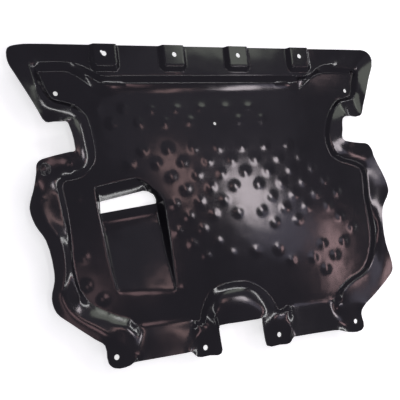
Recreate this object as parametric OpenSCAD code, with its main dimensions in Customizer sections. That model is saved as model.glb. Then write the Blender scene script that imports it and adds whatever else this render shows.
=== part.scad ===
// Engine splash shield: a one-piece moulded black sheet tray, seen from its inner side.
// +X runs to the right, +Y to the edge with the four bolt pads, +Z up out of the tray.
// Z = 0 is the upper face of the flat floor. Lengths are millimetres.

/* [Sheet] */
// Thickness of the moulded sheet
sheet = 3; // [2.5:0.25:3.5]
// Height of the surrounding flange above the floor
flange_height = 16; // [13:1:19]
// Height of the first crease of the walls above the floor
foot_height = 8; // [7:0.5:9]
// Height that the wide front and rear fillets reach where they meet the steeper wall
fillet_height = 4; // [3:0.5:5]

/* [Bolt pads] */
// Height of each pad above the front flange
pad_height = 8; // [6:1:10]
// Radius of the bolt holes in the front pads
pad_hole_radius = 5; // [4:0.5:6]

/* [Other holes] */
// Radius of the bolt holes in the rear tabs
tab_hole_radius = 5; // [4:0.5:6]
// Radius of the two holes in the front corner pockets
corner_hole_radius = 4.5; // [3.5:0.5:5.5]
// Radius of the small drain hole in the floor
drain_radius = 3.5; // [2.5:0.5:4.5]

/* [Dimples] */
// Distance between neighbouring dimple rows and columns
dimple_pitch = 27.5; // [27:0.25:28]
// Radius of the sphere that shapes a dimple
dimple_sphere = 55; // [50:1:60]
// Height of a dimple above the floor
dimple_height = 1.5; // [1.25:0.25:2]

/* [Scoop] */
// Depth of the scoop below the floor at its deepest line
scoop_depth = 25; // [20:1:28]

/* [Hidden] */
$fn = 48;
black = [0.07, 0.07, 0.08];
through = 60;

// Moves the plan centre of the tray and the underside of the scoop onto the origin.
placement = [2.5, -33, scoop_depth + sheet];

// The stations state their heights for this flange; all of them scale with the real one.
full_height = 16;
lift = flange_height / full_height;

// The rim is lofted through stations, clockwise from the left wing. A station gives three
// plan points: floor edge, flange crease and outer edge. Named lines hold the straight runs.
// Each stretch of the rim has a form: how far its first crease stands from the floor edge,
// then the heights of its flange crease and of its outer edge.
front_floor = 246;
front_crease = 283;
front_edge = 342;
wing_floor = 293;
wing_crease = 309;
left_wing_tip = [
  [[-350, 281], [-367, 283], [-400, 287]],
  [[-353, 289], [-370, 297], [-409, 305]],
  [[-354, 291], [-371, 303], [-411, 324]],
  [[-354, 292], [-370, 306], [-408, 333]],
  [[-352, 293], [-368, 308], [-393, 339]]
];
left_wing_tip_form = [9, 13, 17];
left_wing = [
  [[-338, wing_floor], [-345, wing_crease], [-348, front_edge]],
  [[-300, wing_floor], [-306, wing_crease], [-307, front_edge]],
  [[-279, 284], [-284, 307], [-278, front_edge]]
];
left_wing_form = [10, 14, 16];
front_run = [
  [[-246, 256], [-254, 291], [-243, front_edge]],
  [[-226, front_floor], [-235, front_crease], [-226, front_edge]],
  [[-186, front_floor], [-190, front_crease], [-184, front_edge]],
  [[-30, front_floor], [-32, front_crease], [-28, front_edge]],
  [[60, front_floor], [58, front_crease], [62, front_edge]],
  [[147, front_floor], [147, front_crease], [152, front_edge]],
  [[182, front_floor], [188, front_crease], [194, front_edge]],
  [[207, 253], [216, 281], [224, front_edge]]
];
front_run_form = [24, 14, 16];
right_wing = [
  [[227, 271], [239, 288], [244, front_edge]],
  [[249, 285], [258, 301], [264, front_edge]],
  [[277, wing_floor], [281, wing_crease], [286, front_edge]]
];
right_wing_form = [9, 13, 16];
right_wing_tip = [
  [[349, wing_floor], [357, 311], [361, front_edge]],
  [[357, wing_floor], [367, 310], [386, 341]],
  [[359, 292], [370, 306], [399, 334]],
  [[359, 288], [371, 301], [406, 319]],
  [[352, 272], [365, 274], [389, 274]],
  [[344, 243], [354, 227], [363, 212]]
];
right_wing_tip_form = [8, 10, 16];
right_pocket = [
  [[335, 237], [339, 217], [353, 191]],
  [[310, 232], [311, 213], [312, 190]]
];
right_pocket_form = [7, 10, 15];
right_neck = [
  [[296, 222], [302, 207], [306, 186]],
  [[283, 207], [293, 197], [303, 178]],
  [[270, 182], [284, 180], [301, 162]],
  [[261, 137], [279, 139], [298, 140]]
];
right_neck_form = [6, 10, 13];
right_ear = [
  [[274, 103], [293, 115], [320, 132]],
  [[294, 92], [309, 104], [342, 129]],
  [[320, 84], [332, 95], [361, 126]],
  [[335, 77], [349, 89], [371, 113]],
  [[343, 70], [359, 82], [374, 98]]
];
right_ear_form = [7, 11, 14];
right_bay = [
  [[344, 38], [382, 46], [395, 48]],
  [[343, 25], [385, 29], [400, 29]],
  [[342, 9], [381, 14], [400, 15]]
];
right_bay_form = [8, 12, 14];
right_side = [
  [[344, -20], [366, -19], [379, -17]],
  [[345, -40], [361, -41], [373, -40]],
  [[343, -88], [359, -93], [372, -96]]
];
right_side_form = [7, 12, 14];
right_rear_corner = [
  [[328, -126], [357, -136], [381, -143]],
  [[318, -140], [352, -153], [379, -159]],
  [[306, -151], [340, -170], [364, -174]],
  [[271, -165], [303, -199], [322, -205]],
  [[242, -183], [270, -221], [286, -230]]
];
right_rear_corner_form = [8, 12, 14];
right_rear_tab = [
  [[234, -191], [258, -232], [282, -241]],
  [[230, -198], [246, -248], [284, -268]],
  [[228, -200], [242, -255], [275, -276]],
  [[226, -202], [237, -261], [244, -275]]
];
right_rear_tab_form = [16, 12, 12];
right_rear_plate = [
  [[216, -205], [218, -255], [218, -267]],
  [[199, -205], [186, -254], [182, -265]],
  [[133, -203], [117, -252], [114, -264]],
  [[119, -202], [108, -250], [107, -264]]
];
right_rear_plate_form = [17, 12, 15];
right_inner_tab = [
  [[108, -201], [101, -237], [99, -275]],
  [[100, -204], [89, -229], [75, -275]],
  [[95, -206], [76, -228], [47, -273]],
  [[92, -207], [71, -227], [45, -268]],
  [[88, -206], [63, -223], [43, -246]]
];
right_inner_tab_form = [11, 10, 10];
right_shoulder = [[[84, -199], [54, -216], [41, -226]]];
right_shoulder_form = [11, 13, 13];
half_round = [
  [[79, -188], [47, -208], [39, -217]],
  [[69, -172], [39, -200], [30, -217]],
  [[48, -152], [21, -190], [11, -217]],
  [[16, -139], [-3, -183], [-12, -217]],
  [[-46, -143], [-47, -186], [-51, -217]],
  [[-65, -156], [-60, -193], [-56, -218]]
];
half_round_form = [13, 15, 16];
left_shoulder = [[[-78, -175], [-66, -202], [-56, -228]]];
left_shoulder_form = [10, 13, 13];
left_inner_tab = [
  [[-85, -191], [-70, -213], [-54, -248]],
  [[-90, -203], [-79, -224], [-56, -271]],
  [[-93, -203], [-87, -226], [-81, -271]],
  [[-97, -202], [-98, -229], [-106, -270]]
];
left_inner_tab_form = [10, 10, 10];
left_rear_plate = [
  [[-106, -200], [-112, -241], [-120, -258]],
  [[-118, -199], [-127, -246], [-132, -258]],
  [[-188, -197], [-197, -246], [-201, -258]],
  [[-211, -195], [-223, -246], [-226, -258]]
];
left_rear_plate_form = [14, 12, 15];
left_rear_tab = [
  [[-218, -192], [-233, -243], [-235, -259]],
  [[-222, -188], [-240, -236], [-243, -263]],
  [[-229, -180], [-250, -224], [-272, -263]],
  [[-235, -177], [-259, -217], [-282, -253]]
];
left_rear_tab_form = [18, 12, 12];
left_rear_corner = [
  [[-253, -170], [-281, -197], [-286, -220]],
  [[-266, -163], [-296, -186], [-302, -207]],
  [[-301, -140], [-334, -157], [-345, -171]]
];
left_rear_corner_form = [20, 13, 14];
left_side = [
  [[-315, -119], [-350, -141], [-367, -150]],
  [[-321, -97], [-354, -123], [-373, -124]],
  [[-325, -68], [-346, -94], [-365, -94]],
  [[-325, -52], [-343, -75], [-364, -76]],
  [[-324, -4], [-348, -18], [-373, -20]]
];
left_side_form = [8, 14, 14];
left_bay = [
  [[-325, 26], [-371, 13], [-389, 9]],
  [[-328, 54], [-379, 41], [-396, 38]],
  [[-329, 66], [-375, 54], [-393, 53]],
  [[-330, 75], [-366, 71], [-386, 72]]
];
left_bay_form = [12, 14, 14];
left_ear = [
  [[-325, 85], [-353, 97], [-379, 103]],
  [[-318, 87], [-344, 101], [-377, 117]],
  [[-307, 88], [-333, 104], [-371, 124]],
  [[-294, 91], [-319, 108], [-355, 129]]
];
left_ear_form = [15, 13, 19];
left_neck = [
  [[-268, 113], [-298, 123], [-314, 138]],
  [[-262, 129], [-291, 133], [-303, 140]],
  [[-261, 145], [-286, 145], [-302, 147]],
  [[-267, 195], [-291, 191], [-309, 189]],
  [[-271, 208], [-297, 199], [-312, 195]]
];
left_neck_form = [14, 12, 14];
left_pocket = [
  [[-280, 219], [-305, 206], [-322, 195]],
  [[-291, 229], [-314, 213], [-337, 195]],
  [[-307, 235], [-328, 216], [-352, 195]],
  [[-330, 241], [-349, 225], [-364, 216]],
  [[-337, 249], [-356, 235], [-373, 235]]
];
left_pocket_form = [11, 13, 17];

// A stretch gives its stations its form, the height of its first crease, and the share of
// the climb from there to the flange crease that is made half way.
function stretch(plan, form, foot, climb) =
  [for (p = plan) [p, form[0], foot, climb, form[1], form[2]]];
stations = concat(
  stretch(left_wing_tip, left_wing_tip_form, foot_height, 0.5),
  stretch(left_wing, left_wing_form, foot_height, 0.5),
  stretch(front_run, front_run_form, fillet_height, 0.4),
  stretch(right_wing, right_wing_form, foot_height, 0.5),
  stretch(right_wing_tip, right_wing_tip_form, foot_height, 0.5),
  stretch(right_pocket, right_pocket_form, foot_height, 0.5),
  stretch(right_neck, right_neck_form, foot_height, 0.5),
  stretch(right_ear, right_ear_form, foot_height, 0.5),
  stretch(right_bay, right_bay_form, foot_height, 0.4),
  stretch(right_side, right_side_form, foot_height, 0.5),
  stretch(right_rear_corner, right_rear_corner_form, foot_height, 0.4),
  stretch(right_rear_tab, right_rear_tab_form, foot_height, 0.5),
  stretch(right_rear_plate, right_rear_plate_form, fillet_height, 0.5),
  stretch(right_inner_tab, right_inner_tab_form, foot_height, 0.5),
  stretch(right_shoulder, right_shoulder_form, foot_height, 0.6),
  stretch(half_round, half_round_form, foot_height, 0.7),
  stretch(left_shoulder, left_shoulder_form, foot_height, 0.6),
  stretch(left_inner_tab, left_inner_tab_form, foot_height, 0.5),
  stretch(left_rear_plate, left_rear_plate_form, fillet_height, 0.5),
  stretch(left_rear_tab, left_rear_tab_form, foot_height, 0.5),
  stretch(left_rear_corner, left_rear_corner_form, foot_height, 0.4),
  stretch(left_side, left_side_form, foot_height, 0.4),
  stretch(left_bay, left_bay_form, foot_height, 0.4),
  stretch(left_ear, left_ear_form, foot_height, 0.5),
  stretch(left_neck, left_neck_form, foot_height, 0.5),
  stretch(left_pocket, left_pocket_form, foot_height, 0.5)
);

// The five lines of the rim at each station: floor edge, first crease, half way, flange
// crease and outer edge.
function raised(p, z) = [p[0], p[1], z * lift];
function unit(v) = v / norm(v);
function spot(s, line) =
  let (plan = s[0], foot = plan[0] + s[1] * unit(plan[1] - plan[0]))
  line == 0 ? raised(plan[0], 0) :
  line == 1 ? raised(foot, s[2]) :
  line == 2 ? raised((foot + plan[1]) / 2, s[2] + s[3] * (s[4] - s[2])) :
  line == 3 ? raised(plan[1], s[4]) :
              raised(plan[2], s[5]);

// Rounded points between every two stations keep the curves smooth.
count = len(stations);
function at(i, line) = spot(stations[(i + count) % count], line);
function heading(i, line) =
  let (turn = unit(at(i, line) - at(i - 1, line)) + unit(at(i + 1, line) - at(i, line)))
  turn / max(norm(turn), 0.5);
function between(i, line, t) =
  let (a = at(i, line), b = at(i + 1, line), pull = norm(b - a) * t * (1 - t))
  a + (b - a) * t * t * (3 - 2 * t)
    + pull * ((1 - t) * heading(i, line) - t * heading(i + 1, line));
parts = 3;
function loop(line) =
  [for (i = [0:count - 1]) for (k = [0:parts - 1])
    k == 0 ? at(i, line) : between(i, line, k / parts)];
lines = 5;
steps = parts * count;
loops = [for (k = [0:lines - 1]) loop(k)];

// Bolt pads on the front flange: plan outline of the foot and of the flat top.
pad_centres = [-228, -87, 58, 207];
pad_foot = [[-30, front_edge], [30, front_edge], [30, 297], [22, 289], [-22, 289],
            [-30, 297]];
pad_top = [[-22, front_edge], [22, front_edge], [22, 304], [17, 299], [-17, 299],
           [-22, 304]];
pad_bolt_line = 323;
pad_bolts = [-230, -85, 58, 207];
pad_holes = [for (x = pad_bolts) [x, pad_bolt_line]];
// The pads stand this far above the underside of the flange, and their walls are this thick.
pad_seat = 0.2;
pad_wall = 2;
pad_low = flange_height - sheet + pad_seat;
pad_high = flange_height + pad_height;
notch_offset = [-4.5, 3.5];
notch_radius = 3;

// Bolt holes of the rear tabs, the corner pockets and the floor.
tab_holes = [[-266, -244], [-88, -255], [77, -255], [265, -255]];
corner_holes = [[-325, 252], [332, 252]];
drain_hole = [-3, 186];

// Raised ring boss on the left ear.
boss_spot = [-363, 108];
boss_height = 17;
boss_tilt = 10;
boss_radius = 10;
boss_rise = 1;
boss_root = 2;
groove_radius = 8;
groove_width = 2;
groove_depth = 1;

// Dimples stand on every other crossing of a square grid, where it falls into these fields
// of the floor: left, near, right and far side. The bare patches between them are smooth.
dimple_origin = -2.5;
dimple_fields = [
  [-255, 206, 90, 232], [-230, 179, -50, 206], [45, 179, 120, 206],
  [-175, 124, 170, 151], [-200, 97, 200, 124], [-118, 69, 225, 97], [-90, 42, 255, 69],
  [-118, 14, 10, 42], [100, 14, 280, 42], [-90, -14, 255, 14],
  [-118, -42, -50, -14], [100, -42, 170, -14], [265, -42, 280, -14],
  [-90, -69, -20, -42], [290, -69, 305, -42],
  [-65, -96, 115, -69], [210, -96, 280, -69], [130, -124, 250, -96],
  [-120, -150, -105, -124], [210, -150, 225, -124],
  [-310, 40, -300, 70], [-310, -124, -300, -40], [-285, -150, -270, -124]
];
function crossings(low, high) = [ceil(low / dimple_pitch):floor(high / dimple_pitch)];
dimple_spots = [
  for (f = dimple_fields)
    for (row = crossings(f[1], f[3]))
      for (column = crossings(f[0] - dimple_origin, f[2] - dimple_origin))
        if ((row + column) % 2 != 0)
          [dimple_origin + column * dimple_pitch, row * dimple_pitch]
];

// Scoop: rows from its front rim to the end of the ramp. Each row holds five plan points
// (left rim, left foot, middle, right foot, right rim) and the depth share of the three
// inner ones. The rim line stays on the floor.
scoop_rows = [
  [-269, 72, -261, 73, -225, 79, -187, 85, -179, 86, 0],
  [-269, 62, -262, 60, -220, 67, -170, 73, -162, 71, 0.4],
  [-268, 46, -259, 45, -214, 52, -158, 57, -140, 50, 0.64],
  [-266, 24, -259, 23, -200, 29, -143, 34, -134, 37, 0.8],
  [-264, 8, -256, 7, -198, 12, -140, 17, -133, 17, 1],
  [-262, -12, -254, -13, -195, -8, -139, -2, -133, -3, 0.96],
  [-257, -65, -251, -66, -192, -68, -137, -70, -131, -70, 0.52],
  [-251, -126, -247, -127, -190, -133, -134, -139, -130, -140, 0]
];
slot = [[-258, 45], [-169, 60], [-158, 58], [-150, 51], [-145, 42], [-143, 34], [-258, 23]];
rim_width = 3;

// A closed sheet between an upper and a lower grid of points, rows by columns. The grid
// either closes on itself row to row or ends in two caps.
function cell(a, b, c, d) = [[a, b, c], [a, c, d]];
module sheet_grid(upper, lower, rows, columns, closed) {
  base = rows * columns;
  last = closed ? rows - 1 : rows - 2;
  function id(r, c) = (r % rows) * columns + c;
  faces = concat(
    [for (r = [0:last]) for (c = [0:columns - 2])
      each cell(id(r, c), id(r, c + 1), id(r + 1, c + 1), id(r + 1, c))],
    [for (r = [0:last]) for (c = [0:columns - 2])
      each cell(base + id(r, c), base + id(r + 1, c), base + id(r + 1, c + 1),
                base + id(r, c + 1))],
    [for (r = [0:last]) [id(r, 0), id(r + 1, 0), base + id(r + 1, 0), base + id(r, 0)]],
    [for (r = [0:last]) [id(r + 1, columns - 1), id(r, columns - 1),
                         base + id(r, columns - 1), base + id(r + 1, columns - 1)]],
    closed ? [] : [for (c = [0:columns - 2])
      each [[id(0, c + 1), id(0, c), base + id(0, c), base + id(0, c + 1)],
            [id(rows - 1, c), id(rows - 1, c + 1), base + id(rows - 1, c + 1),
             base + id(rows - 1, c)]]]
  );
  polyhedron(points = concat(upper, lower), faces = faces, convexity = 10);
}

// Walls and flange all round, lofted through the stations.
module rim() {
  upper = [for (i = [0:steps - 1]) for (k = [0:lines - 1]) loops[k][i]];
  lower = [for (p = upper) p - [0, 0, sheet]];
  sheet_grid(upper, lower, steps, lines, true);
}

// Scoop sheet: the walls also step outwards below the floor so that they stay thick.
scoop_count = len(scoop_rows);
function scoop_point(s, c) =
  c == 0 ? [s[0] - rim_width, s[1], 0] :
  c == 1 ? [s[0], s[1], 0] :
  c == 5 ? [s[8], s[9], 0] :
  c == 6 ? [s[8] + rim_width, s[9], 0] :
           [s[2 * c - 2], s[2 * c - 1], -s[10] * scoop_depth];
scoop_steps = [0, -0.8 * rim_width, -0.8 * rim_width, 0, 0.8 * rim_width,
               0.8 * rim_width, 0];
module scoop() {
  upper = [for (s = scoop_rows) for (c = [0:6]) scoop_point(s, c)];
  lower = [for (s = scoop_rows) for (c = [0:6])
           scoop_point(s, c) + [s[10] > 0 ? scoop_steps[c] : 0, 0, -sheet]];
  difference() {
    sheet_grid(upper, lower, scoop_count, 7, false);
    translate([0, 0, -through]) linear_extrude(through - 1) polygon(slot);
  }
}

// Outline of the opening that the scoop fills in the floor.
scoop_outline = concat(
  [for (s = scoop_rows) [s[0] - rim_width, s[1]]],
  [for (c = [1:5]) let (s = scoop_rows[scoop_count - 1]) [scoop_point(s, c)[0],
                                                         scoop_point(s, c)[1]]],
  [for (i = [scoop_count - 1:-1:0]) [scoop_rows[i][8] + rim_width, scoop_rows[i][9]]],
  [for (c = [5:-1:1]) let (s = scoop_rows[0]) [scoop_point(s, c)[0],
                                               scoop_point(s, c)[1]]]
);

// Flat floor with the scoop's opening.
module floor_panel() {
  translate([0, 0, -sheet]) linear_extrude(sheet) difference() {
    polygon([for (p = loops[0]) [p[0], p[1]]]);
    polygon(scoop_outline);
  }
}

// Sphere caps at every dimple place, standing on a level.
module dimple_caps(radius, low) {
  for (spot = dimple_spots) translate([spot[0], spot[1], 0]) intersection() {
    translate([0, 0, dimple_height - dimple_sphere]) sphere(radius);
    translate([0, 0, low + dimple_sphere / 2])
      cube([2 * dimple_sphere, 2 * dimple_sphere, dimple_sphere], center = true);
  }
}

// A frustum between the foot and top outlines of a pad.
module pad_block(shrink, low, high) {
  function inset(p) = [p[0] - sign(p[0]) * shrink, p[1] + shrink];
  points = concat([for (p = pad_foot) concat(inset(p), low)],
                  [for (p = pad_top) concat(inset(p), high)]);
  polyhedron(points = points, faces = [
    [5, 4, 3, 2, 1, 0], [6, 7, 8, 9, 10, 11],
    [0, 1, 7, 6], [1, 2, 8, 7], [2, 3, 9, 8], [3, 4, 10, 9], [4, 5, 11, 10], [5, 0, 6, 11]
  ]);
}
module pads(shrink, low, high) {
  for (x = pad_centres) translate([x, 0, 0]) pad_block(shrink, low, high);
}

module boss() {
  translate([boss_spot[0], boss_spot[1], boss_height * lift]) rotate([0, boss_tilt, 0])
    rotate_extrude() difference() {
      translate([0, -boss_root]) square([boss_radius, boss_root + boss_rise]);
      translate([groove_radius - groove_width / 2, boss_rise - groove_depth])
        square([groove_width, boss_root]);
    }
}

module bore(spot, radius) {
  translate([spot[0], spot[1], -through / 2]) cylinder(h = 2 * through, r = radius);
}

// Engine splash shield in one piece.
module splash_shield() {
  color(black) translate(placement) difference() {
    union() {
      rim();
      floor_panel();
      scoop();
      dimple_caps(dimple_sphere, -1);
      pads(0, pad_low, pad_high);
      boss();
    }
    dimple_caps(dimple_sphere - sheet, -sheet - 1);
    pads(pad_wall, pad_low - sheet, pad_high - sheet);
    for (p = pad_holes) bore(p, pad_hole_radius);
    bore(pad_holes[0] + notch_offset, notch_radius);
    for (p = tab_holes) bore(p, tab_hole_radius);
    for (p = corner_holes) bore(p, corner_hole_radius);
    bore(drain_hole, drain_radius);
  }
}

splash_shield();
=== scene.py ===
"""Looks of a moulded black engine splash shield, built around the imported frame."""

import math

import bpy
import numpy as np
from mathutils import Matrix, Vector, geometry
from mathutils.bvhtree import BVHTree

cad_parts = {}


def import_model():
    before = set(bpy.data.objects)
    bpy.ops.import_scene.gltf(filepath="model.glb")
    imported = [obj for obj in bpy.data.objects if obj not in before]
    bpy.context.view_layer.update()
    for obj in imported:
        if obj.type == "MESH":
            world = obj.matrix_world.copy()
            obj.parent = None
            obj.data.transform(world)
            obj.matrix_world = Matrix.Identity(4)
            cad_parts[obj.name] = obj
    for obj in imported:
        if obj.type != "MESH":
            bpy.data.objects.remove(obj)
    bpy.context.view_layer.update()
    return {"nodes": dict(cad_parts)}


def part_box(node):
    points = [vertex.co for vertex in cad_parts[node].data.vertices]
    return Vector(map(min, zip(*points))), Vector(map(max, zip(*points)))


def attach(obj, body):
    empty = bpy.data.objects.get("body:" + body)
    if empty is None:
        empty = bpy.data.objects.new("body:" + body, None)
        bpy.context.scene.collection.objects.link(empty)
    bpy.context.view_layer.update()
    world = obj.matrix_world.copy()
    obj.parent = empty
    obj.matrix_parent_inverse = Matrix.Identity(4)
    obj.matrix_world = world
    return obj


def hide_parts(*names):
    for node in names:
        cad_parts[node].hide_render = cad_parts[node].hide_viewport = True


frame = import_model()
NODE = "splash_shield"
LOW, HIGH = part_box(NODE)

# The moulded sheet, in metres
SHEET = 0.003  # thickness
GRID = 0.0035  # spacing of the skin's points
FLOOR = LOW[2] + 0.028  # upper face of the tray's flat floor
DIMPLE = 0.0017  # no dimple stands higher above the floor
DIMPLE_SHARE = 0.6  # softened height of a dimple
DIMPLE_PASSES = 3  # passes that soften the dimples
BEND_PASSES = 8  # passes that round the gentle bends
EAR = 0.05  # radius around the boss within which the sheet is evened out
EAR_PASSES = 60
ARC_RISE = 0.004  # rise of the rounded foot along the front
ARC_REACH = (-0.21, -0.17, 0.18, 0.22)  # where it starts, is full, is full and ends
ARC_FRONT = 0.19  # no dimple lies in front of this line
SHARP = math.cos(math.radians(22))  # edges that turn more than this stay crisp
BEVEL = 0.0012  # half the width of a crisp edge's rounding

# The ring boss on the left ear: radius and height of each ring of its profile
BOSS = (-0.3605, 0.075)
BOSS_PROFILE = (
    (0.0125, 0.0),
    (0.0110, 0.0001),
    (0.0101, 0.0010),
    (0.0092, 0.0012),
    (0.0084, 0.0),
    (0.0072, 0.0),
    (0.0064, 0.0011),
    (0.0030, 0.0013),
)
BOSS_SIDES = 40
BOSS_CLEAR = 0.015  # radius within which the sheet under the boss is taken


# The CAD sheet


def cad_mesh(node):
    """The node's welded vertices, triangles and face normals."""
    mesh = frame["nodes"][node].data
    points = np.empty(len(mesh.vertices) * 3)
    mesh.vertices.foreach_get("co", points)
    points = points.reshape(-1, 3)
    mesh.calc_loop_triangles()
    corners = np.empty(len(mesh.loop_triangles) * 3, dtype=int)
    mesh.loop_triangles.foreach_get("vertices", corners)
    _, first, back = np.unique(
        np.round(points, 6), axis=0, return_index=True, return_inverse=True
    )
    faces = back.reshape(-1)[corners].reshape(-1, 3)
    points = points[first]
    a, b, c = (points[faces[:, i]] for i in range(3))
    normals = np.cross(b - a, c - a)
    area = np.linalg.norm(normals, axis=1)
    keep = area > 1e-12
    return points, faces[keep], normals[keep] / area[keep, None]


def cut_loops(points, faces, normals):
    """Closed rings where the upper surface ends at an upright wall, largest first."""
    upright = np.abs(normals[:, 2]) < 0.02
    upper = normals[:, 2] > 0.05
    owners = {}
    for index in np.flatnonzero(upright | upper):
        a, b, c = faces[index]
        for edge in ((a, b), (b, c), (c, a)):
            owners.setdefault((min(edge), max(edge)), []).append(index)
    links = {}
    for (a, b), around in owners.items():
        if len(around) == 2 and upright[around[0]] != upright[around[1]]:
            links.setdefault(a, []).append(b)
            links.setdefault(b, []).append(a)
    rings, seen = [], set()
    for start in links:
        if start in seen:
            continue
        ring, here = [], start
        while here is not None:
            seen.add(here)
            ring.append(here)
            here = next((n for n in links[here] if n not in seen), None)
        if len(ring) > 5 and ring[0] in links[ring[-1]]:
            rings.append(points[ring])
    return sorted(rings, key=lambda ring: -np.ptp(ring[:, 0]))


def inside(spots, ring):
    """Which spots lie inside a ring, in plan."""
    result = np.zeros(len(spots), dtype=bool)
    x, y = spots[:, 0], spots[:, 1]
    for p, q in zip(ring, np.roll(ring, -1, axis=0)):
        if p[1] == q[1]:
            continue
        crosses = (p[1] > y) != (q[1] > y)
        reach = p[0] + (y - p[1]) * (q[0] - p[0]) / (q[1] - p[1])
        result ^= crosses & (x < reach)
    return result


def crisp_edges(points, faces, normals):
    """Ends of the upper surface's crisp edges."""
    owners = {}
    for index in np.flatnonzero(normals[:, 2] > 0.05):
        a, b, c = faces[index]
        for edge in ((a, b), (b, c), (c, a)):
            owners.setdefault((min(edge), max(edge)), []).append(index)
    return [
        points[list(edge)]
        for edge, around in owners.items()
        if len(around) == 2 and normals[around[0]] @ normals[around[1]] < SHARP
    ]


def split_edge(ends, step):
    """The edge's ends with points between them, no further apart in plan than step."""
    parts = max(1, math.ceil(np.linalg.norm((ends[1] - ends[0])[:2]) / step))
    return np.linspace(ends[0], ends[1], parts + 1)


def beside(chain, reach):
    """Points beside a chain in plan, on both sides of it."""
    along = (chain[-1] - chain[0])[:2]
    side = np.array([-along[1], along[0]]) / np.linalg.norm(along) * reach
    return np.vstack([chain[:, :2] + side, chain[:, :2] - side])


def split_ring(ring, step):
    """The ring with points added so that no edge in plan is longer than step."""
    result = []
    for p, q in zip(ring, np.roll(ring, -1, axis=0)):
        parts = max(1, math.ceil(np.linalg.norm((q - p)[:2]) / step))
        result += [p + (q - p) * k / parts for k in range(parts)]
    return np.array(result)


def inside_cut(spots, cuts):
    """Which spots lie inside the outline and outside every hole."""
    keep = inside(spots, cuts[0])
    for hole in cuts[1:]:
        keep &= ~inside(spots, hole)
    return keep


def clear_of(spots, others, reach):
    """Which spots lie further than reach from all the others, in plan."""
    clear = np.ones(len(spots), dtype=bool)
    for spot in others:
        clear &= ((spots - spot) ** 2).sum(axis=1) > reach**2
    return clear


def plan_mesh(rings, chains, step):
    """Points in plan, triangles between them, and the known point that each came from."""
    known = np.vstack(rings + chains)[:, :2]
    edges, start = [], 0
    for ring in rings:
        run = start + np.arange(len(ring))
        edges += list(zip(run.tolist(), np.roll(run, -1).tolist()))
        start += len(ring)
    for chain in chains:
        edges += [(start + k, start + k + 1) for k in range(len(chain) - 1)]
        start += len(chain)
    flanks = np.vstack([beside(chain, BEVEL) for chain in chains])
    flanks = np.unique(np.round(flanks, 5), axis=0)
    flanks = flanks[inside_cut(flanks, cuts)]
    flanks = flanks[clear_of(flanks, known, 0.8 * BEVEL)]
    low, high = known.min(axis=0), known.max(axis=0)
    rows = np.arange(low[1], high[1], step * math.sqrt(0.75))
    columns = [np.arange(low[0] + k % 2 * step / 2, high[0], step) for k in range(len(rows))]
    spots = np.vstack([np.column_stack([c, np.full(len(c), y)]) for c, y in zip(columns, rows)])
    spots = spots[inside_cut(spots, cuts)]
    spots = spots[clear_of(spots, np.vstack([known, flanks]), 0.6 * step)]
    plan = np.vstack([known, flanks, spots])
    result = geometry.delaunay_2d_cdt([Vector(p) for p in plan], edges, [], 0, 1e-7, True)
    flat = np.array([v[:] for v in result[0]])
    source = np.array([min(old) if old else -1 for old in result[3]])
    triangles = np.array(result[2])
    triangles = triangles[inside_cut(flat[triangles].mean(axis=1), cuts)]
    return flat, triangles, source, len(known), len(known) + len(flanks)


def ties(flat, triangles):
    """Pairs of neighbours, and weights under which a plane's heights stay as they are."""
    starts, ends, weights = [], [], []
    for k in range(3):
        o, p, q = (triangles[:, (k + j) % 3] for j in range(3))
        u, v = flat[p] - flat[o], flat[q] - flat[o]
        area = np.abs(u[:, 0] * v[:, 1] - u[:, 1] * v[:, 0])
        weight = (u * v).sum(axis=1) / np.maximum(area, 1e-10)
        starts += [p, q]
        ends += [q, p]
        weights += [weight, weight]
    return np.concatenate(starts), np.concatenate(ends), np.concatenate(weights)


points, faces, normals = cad_mesh(NODE)
tree = BVHTree.FromPolygons(points.tolist(), faces.tolist())
DOWN, UP = Vector((0, 0, -1)), Vector((0, 0, 1))


def upper_height(x, y):
    return tree.ray_cast(Vector((x, y, 1)), DOWN)[0].z


def sheet_height(x, y):
    """Height of the sheet itself where the CAD's boss stands on it."""
    return tree.ray_cast(Vector((x, y, -1)), UP)[0].z + SHEET


def boss_rings():
    rings = []
    for radius, _ in BOSS_PROFILE:
        turns = np.linspace(0, math.tau, BOSS_SIDES, endpoint=False)
        x, y = BOSS[0] + radius * np.cos(turns), BOSS[1] + radius * np.sin(turns)
        z = [sheet_height(*spot) for spot in zip(x, y)]
        rings.append(np.column_stack([x, y, z]))
    return rings


cuts = [split_ring(ring, GRID) for ring in cut_loops(points, faces, normals)]
chains = [split_edge(ends, GRID) for ends in crisp_edges(points, faces, normals)]
chains = [chain for chain in chains if math.dist(chain[0][:2], BOSS) > BOSS_CLEAR]
rings = cuts + boss_rings()
flat, triangles, source, known_end, flank_end = plan_mesh(rings, chains, GRID)
known = np.vstack(rings + chains)[:, 2]
on_cut = (source >= 0) & (source < sum(len(ring) for ring in cuts))
on_edge = (source >= sum(len(ring) for ring in rings)) & (source < known_end)
fixed = on_cut | on_edge
held = on_cut | (source >= sum(len(ring) for ring in rings)) & (source < flank_end)
from_boss = np.hypot(flat[:, 0] - BOSS[0], flat[:, 1] - BOSS[1])
heights = np.array(
    [
        known[source[i]] if fixed[i]
        else sheet_height(x, y) if from_boss[i] < BOSS_CLEAR
        else upper_height(x, y)
        for i, (x, y) in enumerate(flat)
    ]
)
starts, ends, weights = ties(flat, triangles)
total = np.zeros(len(flat))
np.add.at(total, starts, weights)


def smoothed(values, passes, rate, held):
    """Values drawn towards their neighbours' mean, except where they are held."""
    for _ in range(passes):
        pull = np.zeros(len(flat))
        np.add.at(pull, starts, weights * (values[ends] - values[starts]))
        values = np.where(held, values, values + rate * pull / np.maximum(total, 1e-3))
    return values


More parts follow.
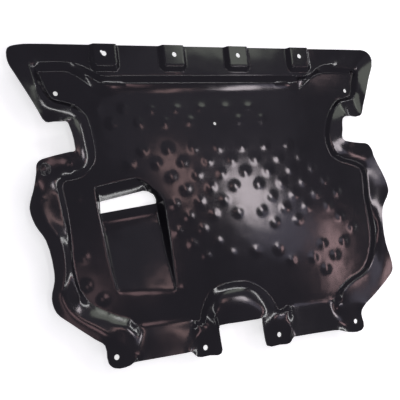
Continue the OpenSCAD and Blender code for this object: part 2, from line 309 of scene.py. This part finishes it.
rise = heights - FLOOR
share = np.interp(flat[:, 0], ARC_REACH, (0, 1, 1, 0), 0, 0)
in_arc = (flat[:, 1] > ARC_FRONT) & (rise > 0) & (rise < ARC_RISE)
heights = heights + np.where(in_arc, share * (rise**2 / ARC_RISE - rise), 0)
walls_near = smoothed((np.abs(rise) > DIMPLE).astype(float), 12, 0.6, False)
on_floor = (walls_near < 0.02) & (flat[:, 1] < ARC_FRONT)
level = np.where(on_floor & ~fixed, FLOOR + DIMPLE_SHARE * (heights - FLOOR), heights)
level = np.where(on_floor, smoothed(level, DIMPLE_PASSES, 0.6, fixed), level)
bent = smoothed(level, BEND_PASSES, 0.6, held | on_floor)
bent = smoothed(bent, EAR_PASSES, 0.6, held | (from_boss > EAR))
bent = np.where(on_edge, smoothed(bent, 1, 0.4, ~on_edge), bent)
radii, rises = zip(*reversed(BOSS_PROFILE))
heights = bent + np.interp(from_boss, radii, rises)

top = np.column_stack([flat, heights])
a, b, c = (top[triangles[:, i]] for i in range(3))
turned = np.cross(b - a, c - a)[:, 2] < 0
triangles[turned] = triangles[turned][:, ::-1]
a, b, c = (top[triangles[:, i]] for i in range(3))
face_normals = np.cross(b - a, c - a)
vertex_normals = np.zeros_like(top)
for i in range(3):
    np.add.at(vertex_normals, triangles[:, i], face_normals)
vertex_normals[on_cut] = (0, 0, 1)
vertex_normals /= np.linalg.norm(vertex_normals, axis=1)[:, None]
bottom = top - SHEET * vertex_normals

count = len(top)
uses = {}
for a, b, c in triangles.tolist():
    for edge in ((a, b), (b, c), (c, a)):
        uses[edge] = True
rim = [(a, b) for a, b in uses if (b, a) not in uses]
walls = [(b, a, a + count, b + count) for a, b in rim]
under = triangles[:, ::-1] + count
skin = bpy.data.meshes.new("shield_skin")
skin.from_pydata(
    np.vstack([top, bottom]).tolist(), [], triangles.tolist() + under.tolist() + walls
)
skin.polygons.foreach_set("use_smooth", [True] * len(skin.polygons))
skin.update()
skin.set_sharp_from_angle(angle=math.radians(55))
shield = bpy.data.objects.new("shield_skin", skin)
bpy.context.scene.collection.objects.link(shield)


# Materials


def moulded_black():
    material = bpy.data.materials.new("moulded_black")
    material.use_nodes = True
    nodes, links = material.node_tree.nodes, material.node_tree.links
    shader = nodes["Principled BSDF"]
    place = nodes.new("ShaderNodeTexCoord")
    cloud = nodes.new("ShaderNodeTexNoise")
    cloud.inputs["Scale"].default_value = 14
    cloud.inputs["Detail"].default_value = 3
    colour = nodes.new("ShaderNodeMix")
    colour.data_type = "RGBA"
    colour.inputs["A"].default_value = (0.006, 0.006, 0.007, 1)
    colour.inputs["B"].default_value = (0.012, 0.011, 0.014, 1)
    rough = nodes.new("ShaderNodeMapRange")
    rough.inputs["To Min"].default_value = 0.09
    rough.inputs["To Max"].default_value = 0.14
    wave = nodes.new("ShaderNodeTexNoise")
    wave.inputs["Scale"].default_value = 22
    wave.inputs["Detail"].default_value = 1
    grain = nodes.new("ShaderNodeTexNoise")
    grain.inputs["Scale"].default_value = 900
    slow = nodes.new("ShaderNodeBump")
    slow.inputs["Strength"].default_value = 1
    slow.inputs["Distance"].default_value = 0.0004
    fine = nodes.new("ShaderNodeBump")
    fine.inputs["Strength"].default_value = 0.3
    fine.inputs["Distance"].default_value = 0.00005
    for texture in (cloud, wave, grain):
        links.new(place.outputs["Object"], texture.inputs["Vector"])
    links.new(cloud.outputs["Fac"], colour.inputs["Factor"])
    links.new(colour.outputs["Result"], shader.inputs["Base Color"])
    links.new(cloud.outputs["Fac"], rough.inputs["Value"])
    links.new(rough.outputs["Result"], shader.inputs["Roughness"])
    links.new(wave.outputs["Fac"], slow.inputs["Height"])
    links.new(slow.outputs["Normal"], fine.inputs["Normal"])
    links.new(grain.outputs["Fac"], fine.inputs["Height"])
    links.new(fine.outputs["Normal"], shader.inputs["Normal"])
    shader.inputs["IOR"].default_value = 1.5
    return material


shield.data.materials.append(moulded_black())
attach(shield, "root")
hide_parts(NODE)


# Floor, lights and camera


def floor_material():
    """A pale matt floor that looks white and lights the tray only as much as paper would."""
    material = bpy.data.materials.new("pale_floor")
    material.use_nodes = True
    nodes, links = material.node_tree.nodes, material.node_tree.links
    shader = nodes["Principled BSDF"]
    shader.inputs["Base Color"].default_value = (0.8, 0.8, 0.8, 1)
    shader.inputs["Roughness"].default_value = 0.9
    shader.inputs["Specular IOR Level"].default_value = 0
    shader.inputs["Emission Color"].default_value = (1, 1, 1, 1)
    path = nodes.new("ShaderNodeLightPath")
    seen = nodes.new("ShaderNodeMath")
    seen.operation = "ADD"
    seen_or_mirrored = nodes.new("ShaderNodeMath")
    seen_or_mirrored.operation = "ADD"
    seen_or_mirrored.use_clamp = True
    strength = nodes.new("ShaderNodeMath")
    strength.operation = "MULTIPLY"
    strength.inputs[1].default_value = 0.65
    links.new(path.outputs["Is Camera Ray"], seen.inputs[0])
    links.new(path.outputs["Is Glossy Ray"], seen.inputs[1])
    links.new(seen.outputs[0], seen_or_mirrored.inputs[0])
    links.new(path.outputs["Is Transmission Ray"], seen_or_mirrored.inputs[1])
    links.new(seen_or_mirrored.outputs[0], strength.inputs[0])
    links.new(strength.outputs[0], shader.inputs["Emission Strength"])
    return material


def floor():
    mesh = bpy.data.meshes.new("floor")
    side = 40
    z = LOW[2]
    mesh.from_pydata(
        [(-side, -side, z), (side, -side, z), (side, side, z), (-side, side, z)],
        [],
        [(0, 1, 2, 3)],
    )
    plane = bpy.data.objects.new("floor", mesh)
    mesh.materials.append(floor_material())
    bpy.context.scene.collection.objects.link(plane)


LAMP_HEIGHT = 1.26  # of the lamps above the tray's floor, as high as the camera


def softbox(name, spot, size, turn, radiance, colour):
    """A lamp that faces down; its radiance is what a mirror on the floor would show."""
    lamp = bpy.data.lights.new(name, "AREA")
    lamp.shape = "ELLIPSE"
    lamp.size, lamp.size_y = size
    lamp.energy = radiance * math.pi**2 / 4 * size[0] * size[1]
    lamp.color = colour
    item = bpy.data.objects.new(name, lamp)
    item.location = (spot[0], spot[1], FLOOR + LAMP_HEIGHT)
    item.rotation_euler = (0, 0, math.radians(turn))
    bpy.context.scene.collection.objects.link(item)


def strip(name, spot, size, radiance, colour):
    """A long lamp at the side that turns towards the tray and shows in its creases."""
    lamp = bpy.data.lights.new(name, "AREA")
    lamp.shape = "RECTANGLE"
    lamp.size, lamp.size_y = size
    lamp.energy = radiance * math.pi * size[0] * size[1]
    lamp.color = colour
    item = bpy.data.objects.new(name, lamp)
    item.location = spot
    item.rotation_euler = (-Vector(spot)).to_track_quat("-Z", "Y").to_euler()
    bpy.context.scene.collection.objects.link(item)


def camera():
    data = bpy.data.cameras.new("camera")
    data.sensor_width = 36
    data.lens = 36 * 700 / 400
    item = bpy.data.objects.new("camera", data)
    yaw, pitch, roll = (math.radians(v) for v in (24.6, -5.3, 7.0))
    turn = (
        Matrix.Rotation(roll, 3, "Z")
        @ Matrix.Rotation(pitch, 3, "X")
        @ Matrix.Rotation(yaw, 3, "Y")
    )
    shift = Vector((0.056, -0.027, -1.416))
    back = turn.transposed()
    item.matrix_world = Matrix.LocRotScale(
        -(back @ shift) + Vector((0.0025, -0.033, FLOOR)), back, None
    )
    bpy.context.scene.collection.objects.link(item)
    bpy.context.scene.camera = item


def world():
    item = bpy.data.worlds.new("studio")
    item.use_nodes = True
    background = item.node_tree.nodes["Background"]
    background.inputs["Color"].default_value = (0.86, 0.80, 1.0, 1)
    background.inputs["Strength"].default_value = 0.26
    bpy.context.scene.world = item


floor()
camera()
world()
softbox("window", (0.75, 0.13), (0.165, 0.27), 30, 11.5, (1.0, 0.90, 0.95))
softbox("haze", (0.86, 0.0), (0.34, 0.24), -30, 1.1, (0.80, 0.76, 1.0))
softbox("pink_left", (0.435, 0.235), (0.08, 0.26), 20, 4, (1.0, 0.64, 0.62))
softbox("pink_right", (1.115, -0.15), (0.08, 0.34), 0, 8, (1.0, 0.66, 0.68))
softbox("pink_ear", (0.25, -0.06), (0.14, 0.22), 0, 3, (1.0, 0.62, 0.64))
softbox("pink_front", (1.19, 0.655), (0.10, 0.05), 0, 4, (1.0, 0.72, 0.74))
softbox("pink_rear", (0.05, -0.19), (0.11, 0.17), 30, 1.2, (1.0, 0.62, 0.64))
softbox("green_front", (0.72, 0.78), (0.6, 0.34), 0, 2.0, (0.93, 1.0, 0.86))
softbox("green_rear", (0.97, 0.92), (0.2, 0.2), 0, 4, (0.93, 1.0, 0.86))
softbox("behind", (-0.35, 0.0), (0.06, 1.2), 0, 10, (1.0, 1.0, 1.0))
softbox("ceiling", (0.6, 0.45), (0.9, 0.6), 0, 0.15, (0.88, 0.82, 1.0))
strip("front", (0.9, 2.6, 2.4), (3.0, 0.16), 14, (1.0, 1.0, 1.0))
strip("rear", (0.9, -2.6, 3.1), (3.0, 0.16), 14, (1.0, 1.0, 1.0))
strip("side", (3.0, 0.0, 2.5), (3.5, 0.16), 14, (1.0, 1.0, 1.0))
bpy.context.scene.view_settings.view_transform = "Standard"
